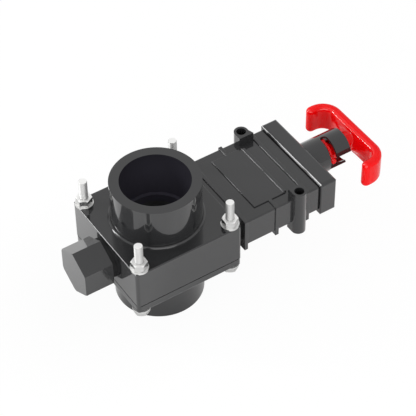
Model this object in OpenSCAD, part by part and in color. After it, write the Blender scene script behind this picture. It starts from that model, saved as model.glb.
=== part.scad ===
// Sewer gate valve: two pipe sockets on a square body, a sliding gate drawn into a side bonnet
// by a T-handle with a quarter-turn bayonet lock, and a hexagonal cleaning plug opposite.
// The pipe runs along Z, the stem along X. The origin is the centre of the lower socket's mouth.

/* [Pipe sockets] */
// Bore of each socket, for the pipe that is cemented in
socket_bore = 63; // [58:1:70]
// Depth of each socket
socket_depth = 46; // [30:1:50]
// Wall of each socket
socket_wall = 9.2; // [6:0.1:12]
// Height of each socket above and below the body
socket_h = 42; // [36:1:60]
// Diameter of the waterway between the sockets
waterway_d = 56; // [40:1:60]
// Radius of the bead round the foot of the upper socket
bead_r = 1.9; // [1:0.1:3]

/* [Body] */
// Thickness of the lower flange plate
flange_t = 7.4; // [6:0.1:12]
// Thickness of the body above and below the gate chamber
body_skin = 15; // [13:0.5:20]
// Material from the bolts' axes to the body's sides
bolt_edge = 7.4; // [7:0.1:14]
// Material between the gate chamber and the bolt holes
chamber_wall = 5.2; // [4.6:0.1:10]
// Rounding of the body's edges
body_round = 1.1; // [0.6:0.1:3]
// Rounding of the body's upright corners
body_corner = 3; // [1:0.1:5]
// Rounding of the lower flange's upright corners
flange_round = 4; // [2:0.1:7]

/* [Gate] */
// Height of the gate's middle above the body's middle
gate_rise = 1; // [0:0.1:2]
// Thickness of the gate plate
gate_t = 8; // [6:0.5:12]
// How far the gate laps over the waterway all round
gate_lap = 5; // [3:0.5:8]
// Height of each seal ring above its groove
seal_h = 4.7; // [4:0.1:6.5]
// Depth of each seal groove
seal_groove = 2; // [1:0.1:3]
// Thickness of the liner that guides the gate's edge
guide_t = 3.6; // [2.5:0.1:6]
// How far the gate's tail lies inside the body's side
tail_in = 1.7; // [0.5:0.1:5]
// Width of the stem boss on the gate
boss_w = 22; // [18:0.5:30]
// Extra travel past the open waterway
over_travel = 2; // [1:0.5:4]

/* [Tie bolts] */
// Bolt diameter
bolt_d = 8; // [6:1:10]
// Clearance of the bolt holes on diameter
bolt_clear = 0.4; // [0.2:0.1:1]
// Nut and head width across flats
nut_af = 13; // [12:0.5:16]
// Nut height
nut_h = 6.8; // [5:0.1:9]
// Bolt head height
head_h = 5.3; // [4:0.1:8]
// Washer diameter
washer_d = 16.6; // [15:0.2:18]
// Washer thickness
washer_t = 1.6; // [1:0.1:3]
// Length of thread that stands above each nut
bolt_proud = 19.4; // [4:0.2:24]
// Turn of the hexagons about the bolt
nut_turn = 28; // [0:1:60]

/* [Bonnet] */
// Gap between the body and the bonnet's first rib
neck_gap = 8; // [6:0.5:14]
// Pitch of the three ribs round the bonnet
rib_pitch = 33.2; // [30:0.1:38]
// Width of each rib
rib_w = 3.7; // [2:0.1:6]
// Length of the bonnet beyond its last rib
bonnet_end = 10; // [6:0.5:16]
// Wall of the bonnet's sides
bonnet_wall = 5; // [4:0.1:6]
// Room beside the gate inside the bonnet
bonnet_room = 7.6; // [6:0.1:12]
// Thickness of the bonnet above its cavity
bonnet_top = 5.3; // [4:0.1:9]
// Thickness of the bonnet below its cavity
bonnet_floor = 5.3; // [3.4:0.1:7]
// How far the ribs and the plate field stand above the bonnet's top
rib_rise = 1.2; // [0.5:0.1:2]
// How far the ribs stand out at the sides
rib_side = 1.2; // [0.6:0.1:2]
// How far the ribs stand below the bonnet's floor
rib_drop = 4.7; // [2:0.1:6]
// Length of the raised plate field
field_l = 33.8; // [26:0.2:36]
// Width of the raised plate field
field_w = 69; // [40:1:80]
// Rounding of the bonnet's edges
bonnet_round = 1.6; // [0.6:0.1:3]

/* [Mounting lugs] */
// Hole through each lug
lug_hole_d = 9; // [6:0.5:10]
// Wall round the lug hole
lug_wall = 2.3; // [1.4:0.1:4]
// How far the lug's axis lies inside the last rib
lug_back = 8; // [8:0.1:10]

/* [End cap] */
// Thickness of the end cap
cap_t = 16.8; // [12:0.1:22]
// How far the cap stands out past the bonnet's sides
cap_proud = 2.4; // [1:0.1:5]
// Height of the cap
cap_h = 38.4; // [36:0.2:46]
// Gap between bonnet and cap, filled by its gasket
cap_gap = 1.3; // [1:0.1:3]
// Outside diameter of the neck
neck_d = 34.4; // [34:0.1:37]
// Bore of the neck
neck_bore = 30; // [29.6:0.1:31]
// Length of the neck
neck_l = 39.9; // [38:0.1:48]
// Width of the bayonet slot
slot_w = 7; // [6.4:0.1:8]
// Distance from the slot to the neck's mouth
slot_back = 15.5; // [12:0.5:18]

/* [Stem and handle] */
// Height of the stem's axis above the gate's middle
stem_rise = 0.7; // [0:0.1:1.3]
// Stem diameter
stem_d = 12; // [10:0.5:12.5]
// Running clearance of the stem on radius
run_gap = 0.05; // [0.03:0.01:0.1]
// Diameter of the handle's hub
hub_d = 19; // [18:0.5:22]
// Clearance of the hub's guide ring in the neck on radius
hub_gap = 0.4; // [0.3:0.05:0.6]
// Diameter of the bayonet lug
lug_pin_d = 5.6; // [4:0.1:6]
// How far the T-handle's ends stand out past the cap's sides, negative where they lie inside
handle_out = 0.4; // [-8:0.1:2]
// Height of the T-handle's bow
handle_h = 27.6; // [20:0.1:32]
// Thickness of the bow
bow_t = 9.3; // [6:0.1:10]
// Outside radius of the bow's corners
bow_r = 19.8; // [14:0.1:22]
// Straight length of the bow's arms
arm_l = 3.3; // [1:0.1:8]
// Rounding of the bow's long edges
bow_edge = 3.7; // [2:0.1:5]
// Length of hub between the neck's mouth and the bow's tips, negative where the tips reach past it
bow_gap = -7.1; // [-8:0.1:4]
// Reach of the saddle from the bow along the hub
saddle_reach = 12; // [6:0.5:14]
// Spread of the saddle along the bow, past the hub
saddle_spread = 18.5; // [10:0.5:22]
// How far the saddle's top and bottom lie inside the bow's edges
saddle_in = 1.7; // [1:0.1:6]

/* [Cleaning plug] */
// Width of the plug's hexagon across flats
plug_af = 40.6; // [36:0.2:44]
// Length of the plug's hexagon
plug_l = 28; // [16:1:36]
// Thread diameter of the plug
plug_thread_d = 26.4; // [20:0.2:28]
// Length of thread in the body
plug_thread_l = 13.6; // [10:0.1:14]
// Thickness of the plug's gasket
plug_gasket_t = 3.8; // [2:0.1:6]

/* [Hidden] */
$fn = 96;
eps = 0.02;
grey = "dimgray";
seat_gap = 0.3;

// Heights, from the floor up
socket_d = socket_bore + 2 * socket_wall;
chamber_h = gate_t + 2 * (seal_h + seat_gap);
body_h = chamber_h + 2 * body_skin;
body_z = socket_h;
seam_z = body_z + flange_t;
top_z = body_z + body_h;
body_mid = body_z + body_h / 2;
mid = body_mid + gate_rise;
stem_z = mid + stem_rise;
total_h = top_z + socket_h;

// Plan of the body
gate_half = waterway_d / 2 + gate_lap;
chamber_half = gate_half + seat_gap + guide_t;
bolt_s = chamber_half + chamber_wall + (bolt_d + bolt_clear) / 2;
body_half = bolt_s + bolt_edge;
gate_tail = body_half - tail_in;
stroke = gate_half + waterway_d / 2 + over_travel;

// Stations along the stem
rib_1 = body_half + neck_gap;
rib_2 = rib_1 + rib_pitch;
rib_3 = rib_2 + rib_pitch;
bonnet_x1 = rib_3 + rib_w + bonnet_end;
cap_x0 = bonnet_x1 + cap_gap;
cap_x1 = cap_x0 + cap_t;
neck_x1 = cap_x1 + neck_l;
slot_x0 = neck_x1 - slot_back - slot_w;
slot_x = slot_x0 + slot_w / 2;
tongue_l = 6;
tongue_gap = 0.2;
tongue_x0 = body_half - tongue_l;

// Bonnet section
cavity_half = gate_half + bonnet_room;
bonnet_half = cavity_half + bonnet_wall;
cavity_h = chamber_h + 0.4;
bonnet_z1 = mid + cavity_h / 2 + bonnet_top;
bonnet_z0 = mid - cavity_h / 2 - bonnet_floor;
rail_t = 2.4;
rail_in = 3;
lug_r = lug_hole_d / 2 + lug_wall;
lug_x = rib_3 - lug_back;
lug_y = bonnet_half + 0.7;
lug_root = 7.5;

// Cap and gland
spigot_l = 6.5;
spigot_gap = 0.3;
bush_wall = 1.2;
bush_d = stem_d + 2 * bush_wall;
bush_x0 = cap_x0 - spigot_l;
bush_collar = 2;
neck_floor = 4;
oring_d = 2.3;
screw_d = 3.2;
screw_l = 26;
screw_head = 6;
screw_y = cavity_half + bonnet_wall / 2;
screw_z = cavity_h / 2 - 1;

// Bayonet angles about the stem, from +Y towards +Z
entry_a0 = 163;
entry_a1 = 235;
lock_a = 87;
lug_a = 174;
rib_a0 = 82;
rib_a1 = 166;

// Stem and handle stations
stem_x0 = gate_tail - 14;
clip_t = 2.4;
clip_gap = 0.2;
clip_x = gate_tail - 9;
groove_d = stem_d - 4;
hub_x0 = slot_x0 - 5;
handle_half = bonnet_half + cap_proud + handle_out;
tip_x = neck_x1 + bow_gap;
bow_x1 = tip_x + bow_t / 2 + arm_l + bow_r;
bow_x0 = bow_x1 - bow_t;
stem_x1 = neck_x1 - 4;
pin_d = 4;
pin_x = slot_x + 7.5;
ring_l = 3.5;

// Cleaning plug stations
plug_x = body_half + plug_gasket_t + 0.2;
plug_gap = 0.07;

// Solid bar along Z with rounded upright edges, from corner a to corner b
module post(a, b, r) {
    s = b - a;
    q = min(r, s.x / 2 - eps, s.y / 2 - eps);
    translate([a.x + q, a.y, a.z]) cube([s.x - 2 * q, s.y, s.z]);
    translate([a.x, a.y + q, a.z]) cube([s.x, s.y - 2 * q, s.z]);
    for (x = [a.x + q, b.x - q], y = [a.y + q, b.y - q])
        translate([x, y, a.z]) cylinder(r = q, h = s.z);
}

// The same bar along X, its long edges rounded
module beam(a, b, r) {
    translate([a.x, 0, 0]) rotate([90, 0, 90])
        post([a.y, a.z, 0], [b.y, b.z, b.x - a.x], r);
}

// The same bar along Y
module sleeper(a, b, r) {
    translate([0, b.y, 0]) rotate([90, 0, 0])
        post([a.x, a.z, 0], [b.x, b.z, b.y - a.y], r);
}

// Block between two corners with every edge rounded, the upright ones by their own radius
module block(a, b, r, upright = 0) {
    intersection() {
        post(a, b, max(r, upright));
        beam(a, b, r);
        sleeper(a, b, r);
    }
}

// Block whose section is centred on the stem, from x0 to x1
module slab(x0, x1, half, z0, z1, r) {
    block([x0, -half, z0], [x1, half, z1], r);
}

// Cylinder along X, on the stem's axis unless another height is given
module rod(x0, x1, r, z = stem_z) {
    translate([x0, 0, z]) rotate([0, 90, 0]) cylinder(r = r, h = x1 - x0);
}

// Part of a tube round the stem, between two angles
module arc_tube(x0, x1, r0, r1, a0, a1) {
    translate([x0, 0, stem_z]) rotate([0, 90, 0]) rotate([0, 0, a0 + 90])
        rotate_extrude(angle = a1 - a0) translate([r0, 0]) square([r1 - r0, x1 - x0]);
}

// Round peg standing out from the stem's axis at an angle
module peg(x, a, r0, r1, d) {
    translate([x, 0, stem_z]) rotate([a, 0, 0]) rotate([-90, 0, 0])
        translate([0, 0, r0]) cylinder(d = d, h = r1 - r0);
}

// Tongue shape: round nose on the pipe's axis and straight sides to x1
module tongue(half, x1, z0, z1) {
    translate([0, 0, z0]) cylinder(r = half, h = z1 - z0);
    translate([0, -half, z0]) cube([x1, 2 * half, z1 - z0]);
}

// Places its children at the four tie bolts
module at_bolts() {
    for (x = [-bolt_s, bolt_s], y = [-bolt_s, bolt_s]) translate([x, y, 0]) children();
}

// Flat ring on the pipe's axis
module ring(z, h, r0, r1) {
    translate([0, 0, z]) difference() {
        cylinder(r = r1, h = h);
        translate([0, 0, -1]) cylinder(r = r0, h = h + 2);
    }
}

// Hexagon across flats, standing on the floor of its own frame
module hexagon(af, h) {
    cylinder(d = af / cos(30), h = h, $fn = 6);
}

// Hexagon with its corners bevelled by a cone, whose end circle stands out past the flats
module bevelled_hexagon(af, h, both, past = 0) {
    bevel = 0.08 * af;
    intersection() {
        hexagon(af, h);
        rotate_extrude() polygon([[0, 0], [af / 2 + (both ? 0 : bevel), 0], [af / 2 + bevel, both ? bevel / 2 : 0],
                                  [af / 2 + bevel, h - (bevel - past) / 2], [af / 2 + past, h], [0, h]]);
    }
}

// Seal ring with a soft lip towards the gate
module seal(z_back, up) {
    r0 = waterway_d / 2 + 0.3;
    r1 = gate_half - 0.4;
    h = seal_h + seal_groove;
    lip = (r1 - r0) / 3;
    translate([0, 0, z_back]) mirror([0, 0, up ? 0 : 1]) rotate_extrude()
        polygon([[r0, 0], [r1, 0], [r1, h - lip], [r1 - lip, h], [r0 + lip, h], [r0, h - lip]]);
}

// Main body with the upper socket, open underneath for the gate chamber
module housing() {
    color(grey) difference() {
        union() {
            block([-body_half, -body_half, seam_z], [body_half, body_half, top_z], body_round, body_corner);
            translate([0, 0, top_z - eps]) cylinder(d = socket_d, h = socket_h + eps);
            translate([0, 0, top_z]) rotate_extrude() translate([socket_d / 2 + 0.6, 0]) circle(r = bead_r);
        }
        translate([0, 0, total_h - socket_depth]) cylinder(d = socket_bore, h = socket_depth + 1);
        translate([0, 0, seam_z - 1]) cylinder(d = waterway_d, h = total_h);
        tongue(chamber_half, body_half + 1, seam_z - 1, mid + chamber_h / 2);
        ring(mid + chamber_h / 2 - eps, seal_groove + eps, waterway_d / 2, gate_half);
        at_bolts() translate([0, 0, seam_z - 1]) cylinder(d = bolt_d + bolt_clear, h = body_h + 2);
        rod(-body_half - 1, 0, plug_thread_d / 2, body_mid);
    }
}

// Lower plate with its socket and the plateau that closes the gate chamber
module lower_flange() {
    color(grey) difference() {
        union() {
            intersection() {
                post([-body_half, -body_half, body_z], [body_half, body_half, seam_z], flange_round);
                beam([-body_half, -body_half, body_z], [body_half, body_half, seam_z + body_round], body_round);
                sleeper([-body_half, -body_half, body_z], [body_half, body_half, seam_z + body_round], body_round);
            }
            cylinder(d = socket_d, h = socket_h + eps);
            tongue(chamber_half - 0.15, body_half, seam_z - eps, mid - chamber_h / 2);
        }
        translate([0, 0, -1]) cylinder(d = socket_bore, h = socket_depth + 1);
        translate([0, 0, -1]) cylinder(d = waterway_d, h = total_h);
        ring(mid - chamber_h / 2 - seal_groove, seal_groove + 1, waterway_d / 2, gate_half);
        gasket_band(seam_z - 1.6, 2);
        at_bolts() translate([0, 0, body_z - 1]) cylinder(d = bolt_d + bolt_clear, h = flange_t + 2);
        rod(-body_half - 1, 0, plug_thread_d / 2, body_mid);
    }
}

// Horseshoe band that runs round the chamber in the joint face
module gasket_band(z, h) {
    side = chamber_half + chamber_wall / 2;
    difference() {
        tongue(side + 1.1, body_half - 4, z, z + h);
        tongue(side - 1.1, body_half, z - 1, z + h + 1);
    }
}

module flange_gasket() {
    color("black") gasket_band(seam_z - 1.6, 1.6);
}

module upper_seal() {
    color("black") seal(mid + chamber_h / 2 + seal_groove, false);
}

module lower_seal() {
    color("black") seal(mid - chamber_h / 2 - seal_groove, true);
}

// Liner in the chamber that the gate's edge slides along, open towards the cleaning plug
module gate_guide() {
    color("silver") difference() {
        tongue(chamber_half - 0.1, tongue_x0 - tongue_gap, mid - chamber_h / 2, mid + chamber_h / 2);
        tongue(gate_half + seat_gap, body_half, mid - chamber_h, mid + chamber_h);
        rod(-body_half, 0, chamber_h / 2 - 3, mid);
    }
}

// Gate plate with a round nose, and the boss that takes the stem's end
module gate() {
    boss_h = chamber_h - 2 * seat_gap;
    boss_x0 = gate_half + 1.2;
    color("gainsboro") difference() {
        union() {
            intersection() {
                tongue(gate_half, gate_tail, mid - gate_t / 2, mid + gate_t / 2);
                beam([-gate_half - 1, -gate_half, mid - gate_t / 2], [gate_tail, gate_half, mid + gate_t / 2], 1.2);
            }
            slab(boss_x0, gate_tail, boss_w / 2, mid - boss_h / 2, mid + boss_h / 2, 1);
        }
        rod(stem_x0 - 0.2, gate_tail + 1, stem_d / 2 + run_gap);
        translate([clip_x - clip_t / 2 - 0.05, -stem_d / 2 - 2.1, stem_z - stem_d / 2 - 1])
            cube([clip_t + 0.1, stem_d + 4.2, chamber_h]);
    }
}

// Horseshoe clip dropped into the boss, which holds the stem by its groove and lets it turn
module stem_clip() {
    z1 = mid + chamber_h / 2 - 0.8;
    half = stem_d / 2 + 2;
    color("lightgray") difference() {
        translate([clip_x - clip_t / 2, -half, stem_z - stem_d / 2 - 0.9])
            cube([clip_t, 2 * half, z1 - stem_z + stem_d / 2 + 0.9]);
        rod(clip_x - clip_t, clip_x + clip_t, groove_d / 2 + 0.2);
        translate([clip_x - clip_t, -groove_d / 2 - 0.2, stem_z - stem_d])
            cube([2 * clip_t, groove_d + 0.4, stem_d]);
    }
}

// Stem from the gate's boss to the handle's hub, grooved for the clip and drilled for the pin
module stem() {
    color(grey) difference() {
        rod(stem_x0, stem_x1, stem_d / 2);
        difference() {
            rod(clip_x - clip_t / 2 - clip_gap, clip_x + clip_t / 2 + clip_gap, stem_d);
            rod(clip_x - clip_t, clip_x + clip_t, groove_d / 2);
        }
        translate([pin_x, 0, stem_z - stem_d]) cylinder(d = pin_d, h = 2 * stem_d);
    }
}

// One rib round the bonnet
module bonnet_rib(x) {
    slab(x, x + rib_w, bonnet_half + rib_side, bonnet_z0 - rib_drop, bonnet_z1 + rib_rise, 0.5);
}

// Mounting lug: a tall eye at the bonnet's side on a flared web
module lug(side) {
    mirror([0, side < 0 ? 1 : 0, 0]) {
        translate([lug_x, lug_y, body_z]) cylinder(r = lug_r, h = body_h);
        translate([0, 0, body_z]) linear_extrude(height = body_h)
            polygon([[lug_x - lug_r, lug_y - lug_root], [lug_x + lug_r + 1.8, lug_y - lug_root],
                     [lug_x + lug_r, lug_y - 2], [lug_x + lug_r, lug_y], [lug_x - lug_r, lug_y]]);
    }
}

// Long box that the gate is drawn into, with ribs, plate field and mounting lugs
module bonnet() {
    field_x0 = rib_2 + rib_w / 2 - field_l / 2;
    color(grey) difference() {
        union() {
            slab(rib_1, bonnet_x1, bonnet_half, bonnet_z0, bonnet_z1, bonnet_round);
            beam([rib_3, -bonnet_half, bonnet_z0], [bonnet_x1, bonnet_half, bonnet_z1], bonnet_round);
            for (x = [rib_1, rib_2, rib_3]) bonnet_rib(x);
            slab(field_x0, field_x0 + field_l, field_w / 2, mid, bonnet_z1 + rib_rise, 0.4);
            slab(field_x0 + field_l - 2, field_x0 + field_l + 1.5, field_w / 2 - 1, mid, bonnet_z1 + rib_rise + 0.5, 0.5);
            for (side = [-1, 1]) lug(side);
            slab(body_half, rib_1 + rib_w, chamber_half + 3, mid - cavity_h / 2 - 3, bonnet_z1, 1);
            translate([tongue_x0, -chamber_half + tongue_gap, mid - chamber_h / 2 + tongue_gap])
                cube([tongue_l + 1, 2 * (chamber_half - tongue_gap), chamber_h - 2 * tongue_gap]);
        }
        translate([tongue_x0 - 1, -gate_half - 1, mid - chamber_h / 2 + 1.6])
            cube([rib_1 - tongue_x0 + 2 + rib_w, 2 * gate_half + 2, chamber_h - 3.2]);
        translate([tongue_x0 - 1, -boss_w / 2 - 1, mid - cavity_h / 2])
            cube([rib_1 - tongue_x0 + 2 + rib_w, boss_w + 2, cavity_h]);
        difference() {
            translate([rib_1 + rib_w, -cavity_half, mid - cavity_h / 2])
                cube([bonnet_x1, 2 * cavity_half, cavity_h]);
            for (side = [-1, 1]) bonnet_rails(side);
        }
        for (side = [-1, 1]) translate([lug_x, side * lug_y, body_z - 1])
            cylinder(d = lug_hole_d, h = body_h + 2);
        at_cap_screws() rotate([0, 90, 0]) cylinder(d = screw_d, h = screw_l - cap_t - cap_gap + 4);
        translate([body_half, 0, 0]) gasket_recess();
    }
}

// Rails above and below the gate's edge inside the bonnet
module bonnet_rails(side) {
    x0 = rib_1 + rib_w - 1;
    x1 = bush_x0 - 2;
    y0 = gate_half - rail_in;
    for (z = [gate_t / 2 + seat_gap, -gate_t / 2 - seat_gap - rail_t])
        translate([x0, side > 0 ? y0 : -cavity_half - 1, mid + z])
            cube([x1 - x0, cavity_half + 1 - y0, rail_t]);
}

// Groove in the neck's shoulder for its gasket
module gasket_recess() {
    translate([-1, 0, 0]) difference() {
        slab(0, 3, chamber_half + 4, mid - cavity_h / 2 - 4, mid + cavity_h / 2 + 4, 0.5);
        translate([-1, -chamber_half, mid - chamber_h / 2]) cube([6, 2 * chamber_half, chamber_h]);
    }
}

// Gasket pressed between the body's side and the bonnet's neck
module bonnet_gasket() {
    color("black") difference() {
        slab(body_half, body_half + 2, chamber_half + 2.4, mid - cavity_h / 2 - 2.4, mid + cavity_h / 2 + 2.4, 0.8);
        translate([body_half - 1, -chamber_half, mid - chamber_h / 2]) cube([4, 2 * chamber_half, chamber_h]);
    }
}

// Places its children at the cap screws, on the bonnet's end face
module at_cap_screws() {
    for (y = [-screw_y, screw_y], z = [-screw_z, screw_z])
        translate([bonnet_x1 - (screw_l - cap_t - cap_gap) - 2, y, mid + z]) children();
}

// Cap that closes the bonnet, with the neck that guides and locks the handle
module end_cap() {
    z0 = body_mid - cap_h / 2;
    half = bonnet_half + cap_proud;
    color(grey) difference() {
        union() {
            intersection() {
                slab(cap_x0, cap_x1, half, z0, z0 + cap_h, 1.2);
                beam([cap_x0, -half, z0], [cap_x1, half, z0 + cap_h], 3);
                sleeper([cap_x0, -half, z0], [cap_x1, half, z0 + cap_h], 2.6);
            }
            slab(bush_x0, cap_x0 + 1, cavity_half - spigot_gap, mid - cavity_h / 2 + spigot_gap,
                 mid + cavity_h / 2 - spigot_gap, 0.8);
            rod(cap_x1 - 1, neck_x1, neck_d / 2);
        }
        rod(cap_x1 + neck_floor, neck_x1 + 1, neck_bore / 2);
        rod(bush_x0 - 1, cap_x1 - 3, bush_d / 2);
        rod(cap_x1 - 4, cap_x1 + neck_floor + 1, stem_d / 2 + 0.5);
        for (x = [cap_x1 - 1.6, cap_x1 + 1.6])
            rod(x - oring_d / 2, x + oring_d / 2, stem_d / 2 + 0.2 + oring_d);
        arc_tube(slot_x0, slot_x0 + slot_w, neck_bore / 2 - 1, neck_d / 2 + 1, lock_a, entry_a0 + 4);
        peg(slot_x, lock_a, neck_bore / 2 - 2, neck_d / 2 + 2, slot_w - 0.2);
        arc_tube(slot_x0, neck_x1 + 1, neck_bore / 2 - 1, neck_d / 2 + 1, entry_a0, entry_a1);
        for (y = [-screw_y, screw_y], z = [-screw_z, screw_z]) translate([0, y, mid + z]) rotate([0, 90, 0]) {
            translate([0, 0, cap_x0 - 1]) cylinder(d = screw_d + 0.4, h = cap_t + 2);
            translate([0, 0, cap_x1 - 2.6]) cylinder(d = screw_head + 0.6, h = 3);
        }
    }
}

// Gasket between the bonnet's end and the cap
module cap_gasket() {
    color("black") difference() {
        slab(bonnet_x1, cap_x0, bonnet_half - 0.4, bonnet_z0 + 0.4, bonnet_z1 - 0.4, 0.6);
        slab(bonnet_x1 - 1, cap_x0 + 1, cavity_half, mid - cavity_h / 2, mid + cavity_h / 2, 0.8);
        for (y = [-screw_y, screw_y], z = [-screw_z, screw_z]) translate([bonnet_x1 - 1, y, mid + z])
            rotate([0, 90, 0]) cylinder(d = screw_d + 0.4, h = cap_gap + 2);
    }
}

// Self-tapping screws through the cap into the bonnet's side walls
module cap_screws() {
    color("silver") for (y = [-screw_y, screw_y], z = [-screw_z, screw_z])
        translate([cap_x1 - 2.6, y, mid + z]) rotate([0, 90, 0]) difference() {
            union() {
                translate([0, 0, 2.6 - screw_l]) cylinder(d = screw_d, h = screw_l);
                cylinder(d = screw_head, h = 2.2);
            }
            translate([-0.5, -2, 1.2]) cube([1, 4, 3]);
            translate([-2, -0.5, 1.2]) cube([4, 1, 3]);
        }
}

// Plain bush pressed into the cap, with a collar on the inside
module stem_bush() {
    color("ivory") difference() {
        union() {
            rod(bush_x0, cap_x1 - 3, bush_d / 2 - eps);
            rod(bush_x0 - bush_collar, bush_x0, bush_d / 2 + 0.8);
        }
        rod(bush_x0 - bush_collar - 1, cap_x1, stem_d / 2 + run_gap);
    }
}

// Two sealing rings on the stem in the cap's floor
module stem_seals() {
    color("black") for (x = [cap_x1 - 1.6, cap_x1 + 1.6])
        translate([x, 0, stem_z]) rotate([0, 90, 0]) rotate_extrude()
            translate([stem_d / 2 + 0.15 + oring_d / 2, 0]) circle(d = oring_d - 0.1, $fn = 24);
}

// Section of the bow between two radii, its four corners rounded
module bow_section(r0, r1, edge) {
    h = handle_h / 2;
    translate([r0, edge - h]) square([r1 - r0, 2 * (h - edge)]);
    translate([r0 + edge, -h]) square([r1 - r0 - 2 * edge, 2 * h]);
    for (x = [r0 + edge, r1 - edge], y = [edge - h, h - edge]) translate([x, y]) circle(r = edge);
}

// Bow of the T-handle: straight back, two round elbows and two short arms with round tips
module bow() {
    half = handle_half;
    edge = min(bow_edge, bow_t / 2 - eps);
    z0 = stem_z - handle_h / 2;
    z1 = stem_z + handle_h / 2;
    sleeper([bow_x0, bow_r - half, z0], [bow_x1, half - bow_r, z1], edge);
    for (side = [0, 1]) mirror([0, side, 0]) {
        beam([tip_x + bow_t / 2, half - bow_t, z0], [bow_x1 - bow_r, half, z1], edge);
        translate([bow_x1 - bow_r, half - bow_r, stem_z])
            rotate_extrude(angle = 90) bow_section(bow_r - bow_t, bow_r, edge);
        translate([tip_x + bow_t / 2, half - bow_t / 2, stem_z]) rotate([0, 0, 90])
            rotate_extrude(angle = 180) intersection() {
                bow_section(-bow_t / 2, bow_t / 2, edge);
                translate([0, -handle_h]) square([bow_t, 2 * handle_h]);
            }
    }
}

// Saddle between hub and bow: a horn of oval section that sweeps out along the bow's back
module saddle() {
    z = handle_h / 2 - saddle_in;
    y = hub_d / 2 + saddle_spread;
    r = (hub_d / 2 - 1) * z / y;
    translate([bow_x0 - saddle_reach, 0, stem_z]) scale([1, y / z, 1]) rotate([0, 90, 0]) rotate_extrude()
        polygon(concat([[0, 0]], [for (a = [0:7.5:90]) [r + (z - r) * (1 - cos(a)), saddle_reach * sin(a)]],
                       [[z, saddle_reach + bow_t / 2], [0, saddle_reach + bow_t / 2]]));
}

// T-handle with its hub, guide ring and bayonet lug
module handle() {
    guide_r = neck_bore / 2 - hub_gap;
    color("red") difference() {
        union() {
            bow();
            saddle();
            rod(hub_x0, bow_x0 + 1, hub_d / 2);
            rod(hub_x0, hub_x0 + ring_l, guide_r);
            arc_tube(slot_x - 1.6, slot_x + 1, hub_d / 2 - 1, guide_r, rib_a0, rib_a1);
            peg(slot_x - 0.3, rib_a0, 4, guide_r, 4.6);
            peg(slot_x, lug_a, 4, neck_d / 2 - 0.3, lug_pin_d);
        }
        rod(hub_x0 - 1, stem_x1 + 0.3, stem_d / 2);
        translate([pin_x, 0, stem_z - hub_d]) cylinder(d = pin_d, h = 2 * hub_d);
    }
}

// Pin through hub and stem
module handle_pin() {
    color("silver") translate([pin_x, 0, stem_z - hub_d / 2 + 0.5]) cylinder(d = pin_d, h = hub_d - 1);
}

// Cleaning plug with its hexagon and thread
module drain_plug() {
    color(grey) difference() {
        union() {
            translate([-plug_x, 0, body_mid]) rotate([0, -90, 0]) bevelled_hexagon(plug_af, plug_l, false, 2.2);
            rod(-plug_x - 1, -body_half + plug_thread_l, plug_thread_d / 2 - plug_gap, body_mid);
        }
        rod(-plug_x - plug_l / 2, 0, plug_thread_d / 2 - 4, body_mid);
    }
}

module plug_gasket() {
    color("black") difference() {
        rod(-plug_x + 0.1, -body_half - 0.1, plug_af / 2 - 1.4, body_mid);
        rod(-plug_x - 1, -body_half + 1, plug_thread_d / 2 + 0.3, body_mid);
    }
}

// Tie bolts from below, through both castings
module tie_bolts() {
    color("silver") at_bolts() {
        translate([0, 0, body_z - washer_t]) cylinder(d = bolt_d, h = body_h + 2 * washer_t + nut_h + bolt_proud - 0.3);
        translate([0, 0, top_z + washer_t + nut_h + bolt_proud - 0.3 - eps])
            cylinder(d1 = bolt_d, d2 = bolt_d - 0.6, h = 0.3);
        translate([0, 0, body_z - washer_t - head_h]) rotate([0, 0, nut_turn]) mirror([0, 0, 1])
            translate([0, 0, -head_h]) bevelled_hexagon(nut_af, head_h, false);
    }
}

module head_washers() {
    color("silver") at_bolts() ring(body_z - washer_t, washer_t, bolt_d / 2 + 0.2, washer_d / 2);
}

module nut_washers() {
    color("silver") at_bolts() ring(top_z, washer_t, bolt_d / 2 + 0.2, washer_d / 2);
}

module nuts() {
    color("silver") at_bolts() translate([0, 0, top_z + washer_t]) rotate([0, 0, nut_turn]) difference() {
        bevelled_hexagon(nut_af, nut_h, true);
        translate([0, 0, -1]) cylinder(d = bolt_d, h = nut_h + 2);
    }
}

housing();
lower_flange();
flange_gasket();
upper_seal();
lower_seal();
gate_guide();
gate();
stem_clip();
stem();
bonnet();
bonnet_gasket();
end_cap();
cap_gasket();
cap_screws();
stem_bush();
stem_seals();
handle();
handle_pin();
drain_plug();
plug_gasket();
tie_bolts();
head_washers();
nut_washers();
nuts();
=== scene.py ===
import math

import bmesh
import bpy
from mathutils import Matrix, Vector


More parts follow.
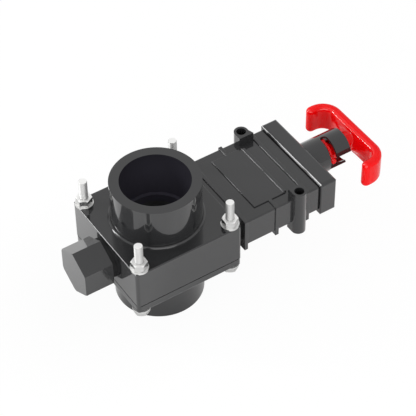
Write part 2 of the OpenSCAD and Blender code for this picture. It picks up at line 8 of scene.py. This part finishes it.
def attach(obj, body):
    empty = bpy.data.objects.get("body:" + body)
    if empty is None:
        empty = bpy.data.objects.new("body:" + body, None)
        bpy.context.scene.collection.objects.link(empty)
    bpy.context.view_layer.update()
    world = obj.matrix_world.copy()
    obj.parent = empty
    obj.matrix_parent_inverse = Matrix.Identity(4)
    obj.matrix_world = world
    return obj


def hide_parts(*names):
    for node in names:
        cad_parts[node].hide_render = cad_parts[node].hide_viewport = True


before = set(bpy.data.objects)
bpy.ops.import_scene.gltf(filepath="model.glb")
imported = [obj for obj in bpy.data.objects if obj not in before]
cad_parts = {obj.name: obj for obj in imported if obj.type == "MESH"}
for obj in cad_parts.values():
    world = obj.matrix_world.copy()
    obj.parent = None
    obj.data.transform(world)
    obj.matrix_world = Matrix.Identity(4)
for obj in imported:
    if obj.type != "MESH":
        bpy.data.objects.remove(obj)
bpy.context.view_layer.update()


# Lower plate and pipe socket. One injection moulding in glossy dark grey plastic, bolted
# on under the body. Its skin is a little uneven, as hard plastic that shrinks in the mould
# is. The socket's bore is left dull so that cement keys to it. Its colour is painted shade,
# near-black towards the mouths and paler towards the pipe's middle.
class Wire:
    """One socket of a material, which can be added, scaled and compared like a number."""

    def __init__(self, tree, socket=None):
        self.tree, self.socket = tree, socket

    def node(self, kind, settings=None, out=0, **sockets):
        """A new node. Its sockets go by name, or by the letter i and their number."""
        made = self.tree.nodes.new("ShaderNode" + kind)
        for name, value in (settings or {}).items():
            setattr(made, name, value)
        for name, value in sockets.items():
            place = made.inputs[int(name[1:]) if name[1:].isdigit() else name.replace("_", " ")]
            if isinstance(value, Wire):
                self.tree.links.new(value.socket, place)
            else:
                place.default_value = value
        return Wire(self.tree, made.outputs[out] if made.outputs else None)

    def beside(self, out):
        """Another output of the node that this wire comes from."""
        return Wire(self.tree, self.socket.node.outputs[out])

    def maths(self, operation, first, second=0.0):
        return self.node("Math", {"operation": operation}, i0=first, i1=second)

    def __add__(self, other):
        return self.maths("ADD", self, other)

    def __mul__(self, other):
        return self.maths("MULTIPLY", self, other)

    def __sub__(self, other):
        return self.maths("SUBTRACT", self, other)

    def __rsub__(self, other):
        return self.maths("SUBTRACT", other, self)

    def __gt__(self, other):
        return self.maths("GREATER_THAN", self, other)

    def __lt__(self, other):
        return self.maths("LESS_THAN", self, other)

    __radd__, __rmul__ = __add__, __mul__

    def blend(self, low, high):
        """A colour between two, by this mask."""
        return self.node("Mix", {"data_type": "RGBA"}, out=2, i0=self, i6=low, i7=high)


def finish(name, recipe, **fixed):
    """A material: recipe gives the sockets that vary over the surface, fixed the rest."""
    made = bpy.data.materials.new(name)
    made.use_nodes = True
    made.node_tree.nodes.clear()
    wire = Wire(made.node_tree)
    shader = wire.node("BsdfPrincipled", **fixed, **recipe(wire))
    wire.node("OutputMaterial", Surface=shader)
    return made


def spot(wire):
    """The point's place in the piece's own frame."""
    return wire.node("TexCoord", out=3)


def cloud(wire, scale, detail=2.0, stretch=(1, 1, 1)):
    """Soft noise from 0 to 1; scale is in patches per metre."""
    place = wire.node("VectorMath", {"operation": "MULTIPLY"}, i0=spot(wire), i1=stretch)
    return wire.node("TexNoise", Vector=place, Scale=scale, Detail=detail)


def tint(shade, by=1.0):
    """A shade made darker or paler, as the four numbers of a colour socket."""
    return (*[c * by for c in shade], 1)


BORE_R = 0.0316
PIPE_MIDDLE = 0.066
# Painted shade of the bore: near-black towards its mouths, paler towards the pipe's middle.
BORE_PAINTED_SHADE = (0.0122, 0.0115, 0.0165)
BORE_MIDDLE_PALE = (0.084, 0.079, 0.106)
BORE_ROUGHNESS = 0.62


def moulded(shade, rough, bored=False):
    """Glossy moulded plastic with an uneven skin, and a dull bore with painted shade on the
    pipe's axis.
    """

    def recipe(wire):
        patches = cloud(wire, scale=38.0)
        grain = cloud(wire, scale=750.0, detail=4.0)
        rub = cloud(wire, scale=110.0, detail=3.0, stretch=(1, 6, 1))
        colour = patches.blend(tint(shade, 0.9), tint(shade, 1.1))
        roughness = rough + 0.05 * patches + 0.04 * grain + 0.03 * rub
        coat = 1.03 - 0.06 * rub
        # The bore's colour is painted shade, near-black at the mouths and paler towards the
        # middle.
        if bored:
            x = wire.node("SeparateXYZ", Vector=spot(wire))
            y, z = x.beside(1), x.beside(2)
            inside = (x * x + y * y) < BORE_R**2
            from_middle = wire.maths("ABSOLUTE", z - PIPE_MIDDLE)
            towards_middle = (PIPE_MIDDLE - from_middle) * (1 / PIPE_MIDDLE)
            bore = towards_middle.blend(tint(BORE_PAINTED_SHADE), tint(BORE_MIDDLE_PALE))
            colour = inside.blend(colour, bore)
            roughness = roughness + inside * (BORE_ROUGHNESS - roughness)
            coat = coat * (1.0 - inside)
        skin = wire.node("Bump", Strength=0.02, Distance=0.0002, Height=grain + 0.8 * patches)
        return {"Base_Color": colour, "Roughness": roughness, "Coat_Weight": coat, "Normal": skin}

    return recipe


def dress(made, *nodes):
    """Gives CAD nodes one material."""
    for node in nodes:
        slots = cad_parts[node].data.materials
        slots.clear()
        slots.append(made)


GREY = (0.0185, 0.0188, 0.0198)
GLOSS = {"IOR": 1.5, "Specular_IOR_Level": 0.2, "Coat_IOR": 1.5, "Coat_Roughness": 0.035}
socket_grey = finish("socket_grey", moulded(GREY, 0.10, bored=True), **GLOSS)
dress(socket_grey, "lower_flange")


# Cord gasket between plate and body, and the two lipped rings that the gate slides
# between. All are black moulded rubber, laid in their grooves before the body is closed.
# The rings carry a grey film of grease, so that the gate slides easily.
def rubbery(shade):
    """Moulded rubber with a fine matt grain."""

    def recipe(wire):
        grain = cloud(wire, scale=1500.0, detail=3.0)
        return {
            "Base_Color": grain.blend(tint(shade, 0.6), tint(shade, 1.4)),
            "Roughness": 0.55 + 0.2 * grain,
            "Normal": wire.node("Bump", Strength=0.2, Distance=0.0002, Height=grain),
        }

    return recipe


RUBBER = (0.0125, 0.0125, 0.0132)
GREASE = (0.075, 0.077, 0.078)
black_rubber = finish("black_rubber", rubbery(RUBBER), Specular_IOR_Level=0.3)
greased_rubber = finish("greased_rubber", rubbery(GREASE), Specular_IOR_Level=0.3)
dress(black_rubber, "flange_gasket")
dress(greased_rubber, "upper_seal", "lower_seal")

# Liner that guides the gate's edge. A slippery off-white moulding, dropped into the
# chamber before the gate goes in, and closed in by the body.
LINER = (0.62, 0.6, 0.54)
liner_plastic = finish("liner_plastic", moulded(LINER, 0.38), IOR=1.5)
dress(liner_plastic, "gate_guide")

# Gate plate, a satin dark moulding that can be seen down the pipe from above or below,
# and the spring-steel horseshoe that holds the stem's groove in its boss.
GATE = (0.12, 0.12, 0.125)
gate_plastic = finish("gate_plastic", moulded(GATE, 0.5), IOR=1.45, Specular_IOR_Level=0.35)
dress(gate_plastic, "gate")
STEEL = (1, 1, 0.99)


def bright_steel(low, high, rough):
    """Stainless steel with a fine grain, its shade between low and high."""

    def recipe(wire):
        grain = cloud(wire, scale=900.0, detail=5.0)
        smear = cloud(wire, scale=160.0, detail=2.0)
        return {
            "Base_Color": grain.blend(tint(STEEL, low), tint(STEEL, high)),
            "Roughness": rough + 0.05 * grain + 0.05 * smear,
            "Normal": wire.node("Bump", Strength=0.03, Distance=0.0002, Height=grain),
        }

    return recipe


spring_steel = finish("spring_steel", bright_steel(0.62, 0.75, rough=0.25), Metallic=1.0)
dress(spring_steel, "stem_clip")

# Body with the upper socket. The same glossy moulding as the plate, with a bead round
# the socket's foot. It is set down over seals and gate and closed by four long bolts.
dress(socket_grey, "housing")

# Bonnet that the gate is drawn into: a ribbed box with a raised plate field, left bare,
# and two eyes for fixing screws. One moulding, pushed over a gasket against the body.
box_grey = finish("box_grey", moulded(GREY, 0.12), **GLOSS)
dress(box_grey, "bonnet")
dress(black_rubber, "bonnet_gasket")

# End cap with the slotted neck, its flat gasket, and four self-tapping screws that
# draw it against the bonnet. The cap is moulded in the body's grey.
dress(box_grey, "end_cap")
dress(black_rubber, "cap_gasket")
screw_steel = finish("screw_steel", bright_steel(0.7, 0.85, rough=0.28), Metallic=1.0)
dress(screw_steel, "cap_screws")

# Stem, a solid grey rod, with the off-white bush and the two rubber rings that it
# runs in. The bush is pressed into the cap from inside.
rod_grey = finish("rod_grey", moulded(GREY, 0.22), IOR=1.5)
dress(rod_grey, "stem")
dress(liner_plastic, "stem_bush")
dress(black_rubber, "stem_seals")

# T-handle, one glossy red moulding with soft edges, fixed on the stem by a steel cross
# pin. The grip is the CAD handle with its edges melted as a mould leaves them. Its coat is
# made thicker on the upper edge towards the body. This is a painted sheen that brightens the
# strip lamp's highlight there.
RED = (0.78, 0.0022, 0.0035)
PLAIN_COAT, SHEEN_COAT = 0.26, 1.0
EDGE_LEAN = 0.3


def lean(wire):
    """The x of the way that a face looks, in the piece's own frame. Its y and z lie beside."""
    return wire.node("SeparateXYZ", Vector=wire.node("TexCoord", out=1))


def red_moulded(wire):
    """Red plastic with a fine grain, and a painted sheen: glossier where a face leans up and to
    the body.
    """
    patches = cloud(wire, scale=42.0)
    grain = cloud(wire, scale=600.0, detail=4.0)
    x = lean(wire)
    # Painted sheen: the coat is thickest where a face leans up and towards the body.
    inner_edge = (x < -EDGE_LEAN) * (x.beside(2) > EDGE_LEAN)
    return {
        "Base_Color": patches.blend(tint(RED, 0.93), tint(RED, 1.05)),
        "Coat_Weight": PLAIN_COAT + (SHEEN_COAT - PLAIN_COAT) * inner_edge,
        "Roughness": 0.10 + 0.06 * patches + 0.03 * grain,
        "Normal": wire.node("Bump", Strength=0.02, Distance=0.0002, Height=grain + 1.5 * patches),
    }


red_plastic = finish(
    "red_plastic",
    red_moulded,
    IOR=1.5,
    Specular_IOR_Level=0.08,
    Coat_Roughness=0.02,
    Subsurface_Weight=0.6,
    Subsurface_Radius=(1.0, 0.15, 0.1),
    Subsurface_Scale=0.012,
)
grip = bpy.data.objects.new("grip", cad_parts["handle"].data.copy())
bpy.context.scene.collection.objects.link(grip)
grip.data.materials.clear()
grip.data.materials.append(red_plastic)
skin = grip.modifiers.new("skin", "REMESH")
skin.mode = "VOXEL"
skin.voxel_size = 0.00055
skin.use_smooth_shade = True
soften = grip.modifiers.new("soften", "SMOOTH")
soften.iterations = 5
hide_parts("handle")
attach(grip, "pull_handle")
dress(spring_steel, "handle_pin")

# Cleaning plug with its big hexagon and a flat rubber gasket, screwed into the body
# opposite the stem. It is moulded in the same grey as the body.
dress(box_grey, "drain_plug")
dress(black_rubber, "plug_gasket")

# Tie bolts, M8 in stainless steel, put in from below with a washer under each head. The
# threads that stand above the nuts are cut here; below the nuts the shanks stay plain.
THREAD_R, PITCH, DEPTH = 0.00392, 0.00125, 0.00055
STEEPNESS, CREST_FLAT = 1.35, 0.15
END_CHAMFER = 0.0003
CUT_Z = 0.0955
CLOSE = 1e-6
AROUND, RINGS_PER_PITCH = 32, 8


def thread_r(z, turn, end):
    """A thread's radius at a height and a part of a turn, with its crest and root cut flat."""
    tooth = abs(2 * ((z / PITCH - turn) % 1.0) - 1)
    r = THREAD_R - DEPTH * min(max(STEEPNESS * tooth - CREST_FLAT, 0), 1)
    return min(r, THREAD_R - END_CHAMFER + (end - z))


bolt_steel = finish("bolt_steel", bright_steel(0.52, 0.6, rough=0.5), Metallic=1.0)
# The bolts' end faces get a near-white steel, a painted highlight.
end_steel_painted_highlight = finish("end_steel_painted_highlight", bright_steel(0.96, 0.99, rough=0.5), Metallic=1.0)
bolts = bpy.data.objects.new("bolts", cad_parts["tie_bolts"].data.copy())
bpy.context.scene.collection.objects.link(bolts)
bolts.data.materials.clear()
bolts.data.materials.append(bolt_steel)
bolts.data.materials.append(end_steel_painted_highlight)
work = bmesh.new()
work.from_mesh(bolts.data)
# Each shank's plain top is cut off inside its nut, and the stump closed.
above_cut = {}
for vert in work.verts:
    if vert.co.z > CUT_Z:
        corner = (vert.co.x > 0, vert.co.y > 0)
        above_cut.setdefault(corner, []).append(vert.co.copy())
cut = bmesh.ops.bisect_plane(
    work,
    geom=work.verts[:] + work.edges[:] + work.faces[:],
    plane_co=(0, 0, CUT_Z),
    plane_no=(0, 0, 1),
    clear_outer=True,
)
cut_verts = [part for part in cut["geom_cut"] if isinstance(part, bmesh.types.BMVert)]
bmesh.ops.remove_doubles(work, verts=cut_verts, dist=CLOSE)
rims = []
for edge in work.edges:
    if edge.is_boundary and all(abs(vert.co.z - CUT_Z) < CLOSE for vert in edge.verts):
        rims.append(edge)
bmesh.ops.holes_fill(work, edges=rims)
# A threaded top of the same height takes its place, with a chamfered end.
for points in above_cut.values():
    x = (min(p.x for p in points) + max(p.x for p in points)) / 2
    y = (min(p.y for p in points) + max(p.y for p in points)) / 2
    end = max(p.z for p in points)
    levels = round((end - CUT_Z) / (PITCH / RINGS_PER_PITCH))
    rings = []
    for level in range(levels + 1):
        z = CUT_Z + (end - CUT_Z) * level / levels
        ring = []
        for step in range(AROUND):
            turn = step / AROUND
            r = thread_r(z, turn, end)
            angle = 2 * math.pi * turn
            ring.append(work.verts.new((x + r * math.cos(angle), y + r * math.sin(angle), z)))
        rings.append(ring)
    for low, high in zip(rings, rings[1:]):
        for step in range(AROUND):
            after = (step + 1) % AROUND
            work.faces.new((low[step], low[after], high[after], high[step])).smooth = True
    work.faces.new(rings[0][::-1])
    # The end face takes the near-white steel, a painted highlight.
    work.faces.new(rings[-1]).material_index = 1
work.to_mesh(bolts.data)
work.free()
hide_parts("tie_bolts")
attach(bolts, "body")

# Washers and nuts of the tie bolts, stamped and pressed from stainless steel. Their tops
# are coarser than their sides, and painted brighter as a highlight. The nuts are run down
# against the body's top.
TOP_LEAN = 0.7


def pressed_steel(flat, painted_top):
    """Stainless steel whose top is coarser than its sides, and painted brighter as a highlight.
    """

    def recipe(wire):
        # Painted highlight: faces that look up get a brighter steel.
        on_top = lean(wire).beside(2) > TOP_LEAN
        grain = cloud(wire, scale=900.0, detail=3.0)
        return {
            "Base_Color": on_top.blend(tint(STEEL, flat), tint(STEEL, painted_top)),
            "Roughness": 0.22 + 0.06 * grain + 0.25 * on_top,
            "Normal": wire.node("Bump", Strength=0.03, Distance=0.0002, Height=grain),
        }

    return recipe


nut_steel = finish("nut_steel", pressed_steel(flat=0.6, painted_top=0.99), Metallic=1.0)
washer_steel = finish("washer_steel", pressed_steel(flat=0.7, painted_top=0.85), Metallic=1.0)
dress(nut_steel, "nuts")
dress(washer_steel, "head_washers", "nut_washers")

# Studio floor of white paper, which looks white from everywhere and keeps a faint shadow.
# It is painted darker round a spot under the cleaning plug. This painted shadow keeps the
# plug's lower faces dark. The floor lies a hair below the lower socket's mouth, so that the
# two don't mix.
FLOOR_HALF, FLOOR_Z = 4.0, -0.0002
PAINTED_SHADOW_PLACE, PAINTED_SHADOW_REACH = (-0.08, 0.03, 0), 0.14
WHITE = (1, 1, 1)
SEEN_GLOW, MIRRORED_GLOW = 0.95, 0.1
CAMERA_RAY, GLOSSY_RAY, TRANSMISSION_RAY = 0, 3, 6
floor_mesh = bpy.data.meshes.new("floor")
floor_corners = [(-FLOOR_HALF, -FLOOR_HALF), (FLOOR_HALF, -FLOOR_HALF)]
floor_corners += [(FLOOR_HALF, FLOOR_HALF), (-FLOOR_HALF, FLOOR_HALF)]
floor_mesh.from_pydata([(x, y, FLOOR_Z) for x, y in floor_corners], [], [(0, 1, 2, 3)])
floor = bpy.data.objects.new("floor", floor_mesh)
bpy.context.scene.collection.objects.link(floor)
paper = bpy.data.materials.new("paper")
paper.use_nodes = True
paper.node_tree.nodes.clear()
wire = Wire(paper.node_tree)
by_camera = wire.node("LightPath", out=CAMERA_RAY)
through_glass = wire.node("LightPath", out=TRANSMISSION_RAY)
seen = wire.maths("MAXIMUM", by_camera, through_glass)
mirrored = wire.node("LightPath", out=GLOSSY_RAY)
# Painted shadow: the floor's colour is darker near a spot under the cleaning plug.
away = wire.node("VectorMath", {"operation": "DISTANCE"}, out=1, i0=spot(wire), i1=PAINTED_SHADOW_PLACE)
paleness = wire.node("MapRange", Value=away, From_Max=PAINTED_SHADOW_REACH)
matt = wire.node("BsdfDiffuse", Color=paleness.blend(tint(WHITE, 0.55), tint(WHITE, 0.95)))
glow = wire.node("Emission", Color=tint(WHITE), Strength=1.0)
share = SEEN_GLOW * seen + MIRRORED_GLOW * mirrored
wire.node("OutputMaterial", Surface=wire.node("MixShader", i0=share, i1=matt, i2=glow))
floor.data.materials.append(paper)

# Studio light: a pale world that looks white from the camera, a faint soft lamp overhead,
# a wide bank in front on the left that lights the sides, and a tall strip behind on the
# left that draws the bright lines on the edges.
SKY_LIGHT, SKY_MIRRORED = 0.78, 0.02
world = bpy.data.worlds.new("studio")
bpy.context.scene.world = world
world.use_nodes = True
world.node_tree.nodes.clear()
wire = Wire(world.node_tree)
seen = wire.node("LightPath", out=CAMERA_RAY)
mirrored = wire.node("LightPath", out=GLOSSY_RAY)
strength = SKY_LIGHT + (1 - SKY_LIGHT) * seen + SKY_MIRRORED * mirrored
wire.node("OutputWorld", Surface=wire.node("Background", Color=tint(WHITE), Strength=strength))


def lamp(name, place, target, size, watts):
    """A flat lamp of a width and a height, turned towards a target."""
    data = bpy.data.lights.new(name, "AREA")
    data.shape = "RECTANGLE"
    data.size, data.size_y = size
    data.energy = watts
    made = bpy.data.objects.new(name, data)
    made.location = place
    made.rotation_euler = (Vector(target) - Vector(place)).to_track_quat("-Z", "Y").to_euler()
    bpy.context.scene.collection.objects.link(made)


lamp("overhead", (-0.1, -0.1, 1.5), (0.05, 0, 0.05), size=(1.2, 1.2), watts=1)
lamp("front", (-1.0, -1.6, 0.7), (0.05, 0, 0.06), size=(3.0, 2.0), watts=26)
lamp("strip", (-0.86, 0.745, 0.58), (0.07, 0, 0.09), size=(0.2, 0.9), watts=7)

# Camera: a long lens that looks down at the valve from the front left, as in the photo.
# The angles, the distance and the small roll come from a fit to collar, body and bolts.
# It aims past the body's top, because the pipe stands left of the picture's middle.
AZIMUTH = math.radians(-32.498)
ELEVATION = math.radians(45.685)
ROLL = math.radians(-0.887)
DISTANCE, ASIDE, ABOVE = 1.55536, 0.044909, 0.005220
BODY_TOP = Vector((0, 0, 0.090))
LENS_PIXELS, PICTURE_PIXELS, SENSOR_MM = 1775.04, 416, 36
outward = math.cos(ELEVATION)
back = Vector((math.sin(AZIMUTH) * outward, -math.cos(AZIMUTH) * outward, math.sin(ELEVATION)))
across = Vector((math.cos(AZIMUTH), math.sin(AZIMUTH), 0))
upward = back.cross(across)
right = math.cos(ROLL) * across + math.sin(ROLL) * upward
top = math.cos(ROLL) * upward - math.sin(ROLL) * across
camera = bpy.data.objects.new("camera", bpy.data.cameras.new("camera"))
camera.data.lens = LENS_PIXELS / PICTURE_PIXELS * SENSOR_MM
camera.data.clip_start = 0.05
camera.data.clip_end = 20
place = BODY_TOP + back * DISTANCE + right * ASIDE + top * ABOVE
camera.matrix_world = Matrix.Translation(place) @ Matrix((right, top, back)).transposed().to_4x4()
bpy.context.scene.collection.objects.link(camera)
bpy.context.scene.camera = camera
bpy.context.scene.view_settings.view_transform = "Standard"
